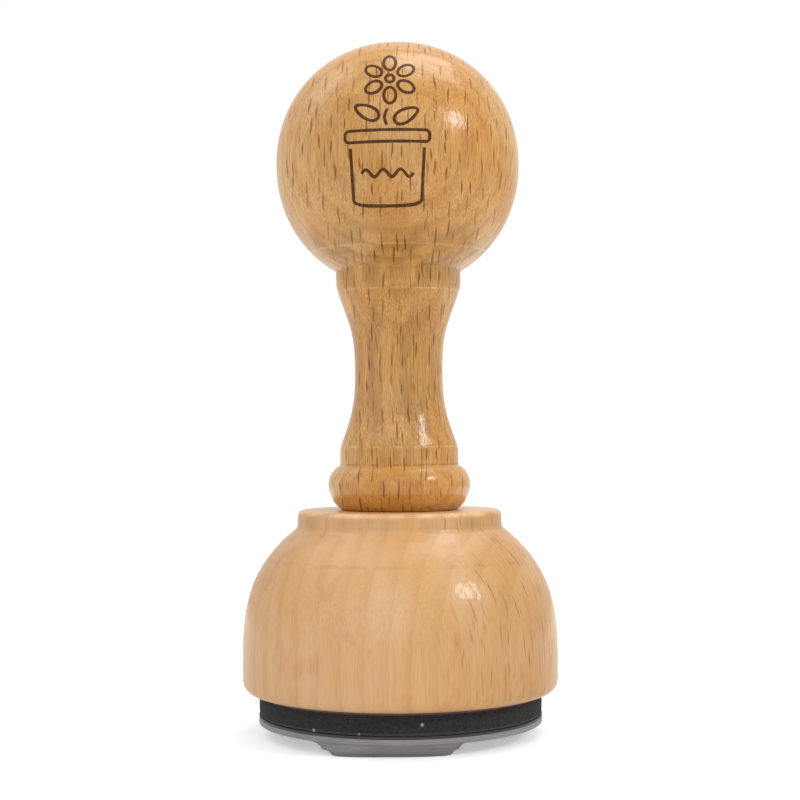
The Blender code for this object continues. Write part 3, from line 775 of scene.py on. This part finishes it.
def turned(profile, ring=False):
    """A profile of (radius, height) points, turned about the axis. A ring's profile closes on itself."""
    bm = bmesh.new()
    points = [bm.verts.new((max(radius, 0.0), 0, height)) for radius, height in profile]
    pairs = list(zip(points, points[1:]))
    if ring:
        pairs.append((points[-1], points[0]))
    geometry = points + [bm.edges.new(pair) for pair in pairs]
    bmesh.ops.spin(bm, geom=geometry, axis=(0, 0, 1), angle=2 * pi, steps=TURN_STEPS, use_merge=True)
    bmesh.ops.remove_doubles(bm, verts=bm.verts, dist=SAME_POINT)
    return bm


def disc(bottom, top, edge_round):
    """A disc of the pad's size with eased edges."""
    profile = [(0.0, top), (PAD_RADIUS, top), (PAD_RADIUS, bottom), (0.0, bottom)]
    return turned(eased(profile, edge_round))


def ball_point(angle, cut):
    """Radius and height of the ball's outline about its own centre, at that angle from its top."""
    across = abs(sin(angle)) ** BALL_FULLNESS
    along = abs(cos(angle)) ** BALL_FULLNESS
    reach = BALL_RADIUS * (across + along) ** (-1 / BALL_FULLNESS) - cut
    return reach * sin(angle), reach * cos(angle)


def handle_outline():
    """Down the outside from the ball's top to the seat on the base."""
    centre = BALL_CENTRE - HANDLE_FOOT
    full = atan2(UPPER_COLLAR_RADIUS, -BALL_DROP)
    marks = [(full * i / BALL_STEPS, 0.0) for i in range(1, BALL_STEPS)]
    for angle, depth in LATHE_LINES:
        half = LATHE_LINE_HALF_WIDTH / BALL_RADIUS
        marks += [(angle - half, 0.0), (angle, depth), (angle + half, 0.0)]
    marks.sort()
    upper_collar = (UPPER_COLLAR_RADIUS, UPPER_COLLAR_FOOT)
    upper_pull = (
        UPPER_COLLAR_RADIUS - UPPER_FLARE_PULL * sin(UPPER_FLARE_SLOPE),
        UPPER_COLLAR_FOOT - UPPER_FLARE_PULL * cos(UPPER_FLARE_SLOPE),
    )
    lower_collar = (LOWER_COLLAR_RADIUS, LOWER_COLLAR_TOP)
    lower_pull = (
        LOWER_COLLAR_RADIUS - LOWER_FLARE_PULL * sin(LOWER_FLARE_SLOPE),
        LOWER_COLLAR_TOP + LOWER_FLARE_PULL * cos(LOWER_FLARE_SLOPE),
    )
    waist = (WAIST_RADIUS, WAIST)
    bead = (BEAD_RADIUS, BEAD_MIDDLE)
    ball = [ball_point(angle, cut) for angle, cut in marks]
    outline = [(0.0, centre + BALL_RADIUS)]
    outline += [(radius, centre + height) for radius, height in ball]
    outline += [(UPPER_COLLAR_RADIUS, UPPER_COLLAR_TOP), upper_collar]
    outline += curve(upper_collar, upper_pull, (WAIST_RADIUS, WAIST + UPPER_WAIST_PULL), waist, FLARE_STEPS)
    outline += curve(waist, (WAIST_RADIUS, WAIST - LOWER_WAIST_PULL), lower_pull, lower_collar, FLARE_STEPS)
    outline += bulge((LOWER_COLLAR_RADIUS, BEAD_TOP), bead, BEAD_STEPS)
    outline += bulge((BEAD_FOOT_RADIUS, 0.0), bead, BEAD_STEPS)[-2::-1]
    return softened(softened(outline, upper_collar, WORN_REACH), lower_collar, WORN_REACH)


def make_handle():
    pilot = SCREW_RADIUS + ROUND_CLEARANCE
    pilot_top = SCREW_SINK + SCREW_LENGTH + END_CLEARANCE - BASE_HEIGHT - GLUE_LINE
    profile = handle_outline()
    profile += [
        (SPIGOT_RADIUS, 0.0),
        (SPIGOT_RADIUS, SPIGOT_CHAMFER - SPIGOT_LENGTH),
        (SPIGOT_RADIUS - SPIGOT_CHAMFER, -SPIGOT_LENGTH),
        (pilot, -SPIGOT_LENGTH),
        (pilot, pilot_top),
        (0.0, pilot_top + DRILL_POINT * pilot),
    ]
    bm = turned(eased(profile, CORNER_REACH))
    piece = finished("handle_turned", bm, beech(HANDLE_BLANK), HANDLE_FOOT, "stamp_body")
    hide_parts("handle")


def make_base():
    quarter = [pi / 2 * i / ROUND_STEPS for i in range(ROUND_STEPS + 1)]
    edge = (COLLAR_TOP_RADIUS - COLLAR_EDGE_ROUND, BASE_HEIGHT - COLLAR_EDGE_ROUND)
    shoulder = (COLLAR_FOOT_RADIUS, BASE_HEIGHT - COLLAR_HEIGHT)
    shoulder_pull = (
        shoulder[0] + SHOULDER_PULL * cos(SHOULDER_SLOPE),
        shoulder[1] - SHOULDER_PULL * sin(SHOULDER_SLOPE),
    )
    wall = (BASE_RADIUS, WALL_HEIGHT)
    foot_radius = BASE_RADIUS - FOOT_ROUND_WIDTH
    head_bore = SCREW_HEAD_RADIUS + ROUND_CLEARANCE
    screw_bore = SCREW_RADIUS + ROUND_CLEARANCE
    cone_foot = SCREW_SINK + SCREW_HEAD_RIM
    socket_floor = BASE_HEIGHT + GLUE_LINE - SPIGOT_LENGTH - END_CLEARANCE
    profile = [
        (edge[0] + COLLAR_EDGE_ROUND * sin(a), edge[1] + COLLAR_EDGE_ROUND * cos(a))
        for a in quarter
    ]
    profile.append(shoulder)
    profile += curve(shoulder, shoulder_pull, (BASE_RADIUS, WALL_HEIGHT + WALL_PULL), wall, DOME_STEPS)
    profile += [
        (foot_radius + FOOT_ROUND_WIDTH * cos(a), FOOT_ROUND_HEIGHT * (1 - sin(a)))
        for a in quarter
    ]
    profile += [
        (head_bore, 0.0),
        (head_bore, cone_foot),
        (screw_bore, cone_foot + head_bore - screw_bore),
        (screw_bore, socket_floor),
        (SPIGOT_RADIUS + ROUND_CLEARANCE, socket_floor),
        (SPIGOT_RADIUS + ROUND_CLEARANCE, BASE_HEIGHT),
    ]
    bm = turned(eased(softened(profile, shoulder, COVE_REACH), CORNER_REACH), ring=True)
    piece = finished("base_turned", bm, beech(BASE_BLANK), BASE_FOOT, "stamp_body")
    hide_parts("base")


def make_film(node, name, body, colours, edge_round):
    """An adhesive film in the node's place, with its cut edges eased."""
    low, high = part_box(node)
    film = disc(0.0, high.z - low.z, edge_round)
    piece = finished(name, film, film_look(name, colours), low.z, body)
    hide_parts(node)


def wall(bm, low, high):
    """Faces between two closed rings of equal length."""
    for j in range(len(low)):
        k = (j + 1) % len(low)
        bm.faces.new((low[j], low[k], high[k], high[j]))


def make_foam():
    """The foam disc, its cut side pitted by open cells and drawn in a little towards its faces."""
    low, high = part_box("cushion_foam")
    height = high.z - low.z
    bm = bmesh.new()
    rings = []
    for i in range(FOAM_ROWS + 1):
        share = i / FOAM_ROWS
        pit_depth = FOAM_PIT_DEPTH * (1.0 if 0 < i < FOAM_ROWS else FOAM_EDGE_PITS)
        ring = []
        for j in range(FOAM_COLUMNS):
            turn = 2 * pi * j / FOAM_COLUMNS
            spot = Vector((PAD_RADIUS * cos(turn), PAD_RADIUS * sin(turn), height * share))
            near = noise.voronoi(spot / FOAM_CELL)[0][0]
            wave = FOAM_WAVE * (1 + noise.noise(spot / FOAM_WAVE_LENGTH))
            inset = FOAM_BULGE * (2 * share - 1) ** 2 + wave
            radius = PAD_RADIUS - inset - pit_depth * max(0.0, FOAM_PIT_REACH - near)
            ring.append(bm.verts.new((radius * cos(turn), radius * sin(turn), spot.z)))
        rings.append(ring)
    for below, above in zip(rings, rings[1:]):
        wall(bm, below, above)
    for ring, z in ((rings[0], 0.0), (rings[-1], height)):
        middle = bm.verts.new((0, 0, z))
        for j in range(FOAM_COLUMNS):
            bm.faces.new((ring[j], ring[(j + 1) % FOAM_COLUMNS], middle))
    piece = finished("foam_cushion", bm, foam_look(), low.z, "stamp_body")
    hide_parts("cushion_foam")
    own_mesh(piece)


def loop(centre, half_length, half_width, turn, point=0.0):
    """A closed oval, which can narrow towards one end before it is turned."""
    points = []
    for i in range(MOTIF_STEPS):
        a = 2 * pi * i / MOTIF_STEPS
        x = half_length * cos(a)
        y = half_width * sin(a) * (1 - point * cos(a))
        points.append((centre[0] + x * cos(turn) - y * sin(turn), centre[1] + x * sin(turn) + y * cos(turn)))
    return points


def pot_line():
    """Down the pot's left side, along its curved floor and up its right side."""
    floor = (0.0, POT_FOOT - POT_BELLY)
    floor_pull = (POT_FLOOR_PULL, floor[1])
    corner = (POT_FOOT_HALF_WIDTH, POT_FOOT)
    corner_pull = (POT_FOOT_HALF_WIDTH, POT_FOOT - POT_CORNER_PULL)
    half = curve(floor, floor_pull, corner_pull, corner, MOTIF_STEPS // 2)
    half.append((POT_TOP_HALF_WIDTH, POT_TOP))
    left = [(POT_X - x, y) for x, y in reversed(half)]
    return left + [(POT_X, floor[1])] + [(POT_X + x, y) for x, y in half]


def rim_line():
    """A rectangle with rounded corners."""
    quarter = [pi / 2 * i / ROUND_STEPS for i in range(ROUND_STEPS + 1)]
    points = []
    for side_x, side_y, start in ((1, 1, 0), (-1, 1, pi / 2), (-1, -1, pi), (1, -1, 3 * pi / 2)):
        x = POT_X + side_x * (RIM_HALF_WIDTH - RIM_CORNER)
        y = RIM_Y + side_y * (RIM_HALF_HEIGHT - RIM_CORNER)
        points += [(x + RIM_CORNER * cos(start + a), y + RIM_CORNER * sin(start + a)) for a in quarter]
    return points


def wave_line():
    """An even wave across the pot."""
    shares = [i / MOTIF_STEPS for i in range(MOTIF_STEPS + 1)]
    return [
        (POT_X + WAVE_HALF_WIDTH * (2 * t - 1), WAVE_Y + WAVE_HEIGHT * sin(2 * pi * WAVE_COUNT * t))
        for t in shares
    ]


def motif_lines():
    """Each line of the motif as its points, whether it closes, and how far its root widens."""
    lines = [
        (pot_line(), False, POT_FLARE),
        (rim_line(), True, LINE_FLARE),
        (wave_line(), False, LINE_FLARE),
    ]
    stem = [STEM_FOOT, *curve(STEM_FOOT, *STEM_PULLS, STEM_TOP, MOTIF_STEPS // 4)]
    lines.append((stem, False, LINE_FLARE))
    for x, y, turn in LEAVES:
        leaf = loop((x, y), LEAF_HALF_LENGTH, LEAF_HALF_WIDTH, turn, LEAF_POINT)
        lines.append((leaf, True, LINE_FLARE))
    lines.append((loop(FLOWER, EYE_RADIUS, EYE_RADIUS, 0.0), True, LINE_FLARE))
    for i in range(PETAL_COUNT):
        turn = pi / 2 + 2 * pi * i / PETAL_COUNT
        centre = (FLOWER[0] + PETAL_DISTANCE * cos(turn), FLOWER[1] + PETAL_DISTANCE * sin(turn))
        petal = loop(centre, PETAL_HALF_LENGTH, PETAL_HALF_WIDTH, turn)
        lines.append((petal, True, LINE_FLARE))
    return lines


def sideways(points, closed):
    """At each point the direction across the line, longer where the line turns, so that its width holds."""
    spots = [Vector(p) for p in points]
    steps = [(b - a).normalized() for a, b in zip(spots, spots[1:])]
    if closed:
        steps.append((spots[0] - spots[-1]).normalized())
    before = [steps[-1 if closed else 0]] + steps
    after = steps + ([] if closed else [steps[-1]])
    across = []
    for a, b in zip(before, after):
        left = Vector((-a.y, a.x))
        right = Vector((-b.y, b.x))
        across.append((left + right) / (1 + left.dot(right)))
    return across


def bridge(bm, rings, closed=False):
    """Walls between rings of equal length. They close in a loop, or the two ends are filled."""
    pairs = list(zip(rings, rings[1:]))
    if closed:
        pairs.append((rings[-1], rings[0]))
    else:
        bm.faces.new(rings[0])
        bm.faces.new(rings[-1])
    for low, high in pairs:
        wall(bm, low, high)


def resampled(points, closed, step):
    """The line with no stretch longer than the step."""
    ends = list(points) + ([points[0]] if closed else [])
    result = []
    for a, b in zip(ends, ends[1:]):
        count = max(1, round(hypot(b[0] - a[0], b[1] - a[1]) / step))
        result += [
            (a[0] + (b[0] - a[0]) * i / count, a[1] + (b[1] - a[1]) * i / count)
            for i in range(count)
        ]
    return result if closed else result + [ends[-1]]


def on_ball(x, z, lift):
    """The point of the ball's front at that place seen from the front, lifted off its surface."""
    radius = (BALL_RADIUS**BALL_FULLNESS - abs(z) ** BALL_FULLNESS) ** (1 / BALL_FULLNESS)
    spot = Vector((x, -sqrt(radius**2 - x**2), z))
    return spot * (1 + lift / spot.length) + Vector((0, 0, BALL_CENTRE))


def make_drawing():
    """The motif as thin ink lines on the ball's front."""
    crown = INK_CROWN
    section = ((-1, -INK_BURY), (1, -INK_BURY), (1, 0.0), (crown, INK_PROUD), (-crown, INK_PROUD), (-1, 0.0))
    bm = bmesh.new()
    for points, closed, _ in motif_lines():
        small = [
            (
                DRAWING_SIDE + (x - MOTIF_MIDDLE[0]) / DRAWING_SHRINK,
                DRAWING_RISE + (y - MOTIF_MIDDLE[1]) / DRAWING_SHRINK,
            )
            for x, y in points
        ]
        line = resampled(small, closed, INK_STEP)
        rings = []
        for (x, z), side in zip(line, sideways(line, closed)):
            wobble = noise.noise(Vector((x, z, 0)) / INK_WOBBLE_LENGTH)
            half = INK_WIDTH / 2 * (1 + INK_WOBBLE * wobble)
            ring = [on_ball(x + side.x * half * w, z + side.y * half * w, lift) for w, lift in section]
            rings.append([bm.verts.new(spot) for spot in ring])
        bridge(bm, rings, closed)
    finished("handle_drawing", bm, ink_look(), 0.0, "stamp_body")


def trimmed(x, y, limit):
    """The point, drawn in towards the axis where it would pass the limit."""
    inside = min(1.0, limit / hypot(x, y))
    return x * inside, y * inside


def raised_lines():
    """The motif's lines as ridges with eased edges, rooted in the raised ground."""
    root = RIDGE_HEIGHT + ROOT_DEPTH
    knee = RIDGE_HEIGHT + KNEE_DEPTH
    half = LINE_WIDTH / 2
    limit = PAD_RADIUS - ROOT_MARGIN
    bm = bmesh.new()
    for points, closed, flare in motif_lines():
        knee_half = half + flare * root / RIDGE_HEIGHT * (knee - LINE_EDGE_ROUND) / (root - LINE_EDGE_ROUND)
        corners = (
            (-half + LINE_EDGE_ROUND, 0.0),
            (half - LINE_EDGE_ROUND, 0.0),
            (half, LINE_EDGE_ROUND),
            (knee_half, knee),
            (knee_half, root),
            (-knee_half, root),
            (-knee_half, knee),
            (-half, LINE_EDGE_ROUND),
        )
        rings = []
        for (x, y), side in zip(points, sideways(points, closed)):
            ring = [(*trimmed(x + side.x * w, y + side.y * w, limit), z) for w, z in corners]
            rings.append([bm.verts.new(corner) for corner in ring])
        bridge(bm, rings, closed)
    return bm


def smooth_outline():
    """The raised ground's outline as a smooth closed curve through its points."""
    count = len(GROUND_OUTLINE)
    points = []
    for i in range(count):
        a, b, c, d = (Vector(GROUND_OUTLINE[(i + k) % count]) for k in (-1, 0, 1, 2))
        leaving = (c - a) / 2
        arriving = (d - b) / 2
        for step in range(GROUND_STEPS):
            t = step / GROUND_STEPS
            settled = t * t * (3 - 2 * t)
            points.append(b.lerp(c, settled) + leaving * t * (1 - t) ** 2 - arriving * t * t * (1 - t))
    return points


def raised_ground():
    """The ground that carries the ridges, with a shoulder that curves down to the backing."""
    outline = smooth_outline()
    across = sideways(outline, True)
    limit = PAD_RADIUS - EDGE_MARGIN
    top = (0.0, RIDGE_HEIGHT)
    foot = (1.0, BACKING_FOOT)
    pulls = [(share, RIDGE_HEIGHT + rise * GROUND_HEIGHT) for share, rise in GROUND_PULLS]
    levels = [top, *curve(top, *pulls, foot, GROUND_LEVELS), (1.0, BACKING_FOOT + ROOT_DEPTH)]
    bm = bmesh.new()
    rings = []
    for share, height in levels:
        ring = []
        for spot, side in zip(outline, across):
            x, y = spot - side * SHOULDER_WIDTH * share
            ring.append(bm.verts.new((*trimmed(x, y, limit), height)))
        rings.append(ring)
    bridge(bm, rings)
    return bm


def solid(name, bm):
    """The closed shape as an object that others are joined from."""
    return added(name, closed_mesh(name, bm))


def make_die():
    """The rubber's backing with the raised ground and its lines joined on."""
    die = solid("die_backing", disc(BACKING_FOOT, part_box("rubber_die")[1].z, BACKING_EDGE))
    parts = [solid("die_ground", raised_ground()), solid("die_lines", raised_lines())]
    for part in parts:
        modifier = die.modifiers.new(part.name, "BOOLEAN")
        modifier.operation = "UNION"
        modifier.solver = "EXACT"
        modifier.use_self = True
        modifier.object = part
    bpy.context.view_layer.update()
    bm = bmesh.new()
    bm.from_object(die, bpy.context.evaluated_depsgraph_get())
    for made in [die, *parts]:
        bpy.data.objects.remove(made)
    piece = finished("rubber_die_moulded", bm, rubber_look(), 0.0, "die_body")
    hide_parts("rubber_die")


def plate_the_screw():
    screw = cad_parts["fixing_screw"]
    screw.data.materials.clear()
    screw.data.materials.append(steel_look())


def light(name, direction, distance, size, power, colour=(1.0, 1.0, 1.0)):
    """A square lamp that looks at the stamp's middle from that direction."""
    middle = Vector((0, 0, cad_box[1].z / 2))
    lamp = bpy.data.lights.new(name, "AREA")
    lamp.size = size
    lamp.energy = power
    lamp.color = colour
    made = added(name, lamp)
    made.location = middle + Vector(direction).normalized() * distance
    made.rotation_euler = (middle - made.location).to_track_quat("-Z", "Y").to_euler()


def light_the_stage():
    light("key", (0.73, -0.43, 0.54), distance=0.70, size=0.14, power=1.50)
    light("overhead", (0.25, 0.15, 0.95), distance=0.60, size=0.35, power=1.48)
    light("left_window", (-0.57, 0.20, 0.78), distance=0.60, size=0.30, power=0.52)
    light("left_side", (-1.0, -0.15, 0.35), distance=0.60, size=0.50, power=0.50)
    light("front_fill", (-0.25, -1.0, 0.55), distance=0.80, size=0.70, power=1.32, colour=FILL_TINT)


def seen_directly(graph):
    """One for what the camera sees, straight or in gloss or through glass, and nought for lighting."""
    rays = graph.add("LightPath").outputs
    through = graph.larger(rays["Is Glossy Ray"], rays["Is Transmission Ray"])
    return graph.larger(rays["Is Camera Ray"], through)


def make_world():
    """White where it is seen, and dimmer where it lights the stamp."""
    world = bpy.data.worlds.new("studio")
    bpy.context.scene.world = world
    graph = Graph(world)
    background = graph.nodes["Background"].inputs
    graph.feed(background["Color"], (1.0, 1.0, 1.0))
    graph.feed(background["Strength"], graph.ease(seen_directly(graph), 0.0, 1.0, WORLD_LIGHT, 1.0))


def make_floor():
    """A white disc under the stamp. Past the shadow it glows up to the white behind it, so no edge shows."""
    bm = bmesh.new()
    bmesh.ops.create_circle(bm, cap_ends=True, segments=FLOOR_SIDES, radius=FLOOR_RADIUS)
    mesh = bpy.data.meshes.new("floor")
    bm.to_mesh(mesh)
    bm.free()
    look = Look("floor_white")
    reach = look.vector("LENGTH", look.spot)
    glow = look.times(seen_directly(look), look.ease(reach, SHADOW_REACH, FULL_GLOW_FROM, FLOOR_GLOW, 1.0))
    look.set(Base_Color=FLOOR_WHITE, Roughness=1.0, Specular_IOR_Level=0.0)
    look.set(Emission_Color=(1.0, 1.0, 1.0), Emission_Strength=glow)
    mesh.materials.append(look.material)
    added("floor", mesh)


def make_camera():
    data = bpy.data.cameras.new("photo_camera")
    data.sensor_width = SENSOR_WIDTH
    data.lens = SENSOR_WIDTH * FOCAL_LENGTH_PX / IMAGE_WIDTH_PX
    data.shift_y = HORIZON_DROP_PX / IMAGE_WIDTH_PX
    data.clip_start = NEAREST_SEEN
    camera = added("photo_camera", data)
    camera.location = (CAMERA_SIDE, -CAMERA_DISTANCE, CAMERA_HEIGHT)
    camera.rotation_euler = (pi / 2, CAMERA_ROLL, 0)
    bpy.context.scene.camera = camera


def make_stamp():
    make_handle()
    make_base()
    make_drawing()
    make_film("base_adhesive_film", "film_upper", "stamp_body", UPPER_FILM_AND_REFLECTION_COLOURS, UPPER_FILM_EDGE)
    make_foam()
    make_film("die_adhesive_film", "film_lower", "die_body", LOWER_FILM_AND_SHADE_COLOURS, LOWER_FILM_EDGE)
    make_die()
    plate_the_screw()


def main():
    bpy.context.scene.view_settings.view_transform = "Standard"
    make_camera()
    make_world()
    light_the_stage()
    make_floor()
    make_stamp()


main()
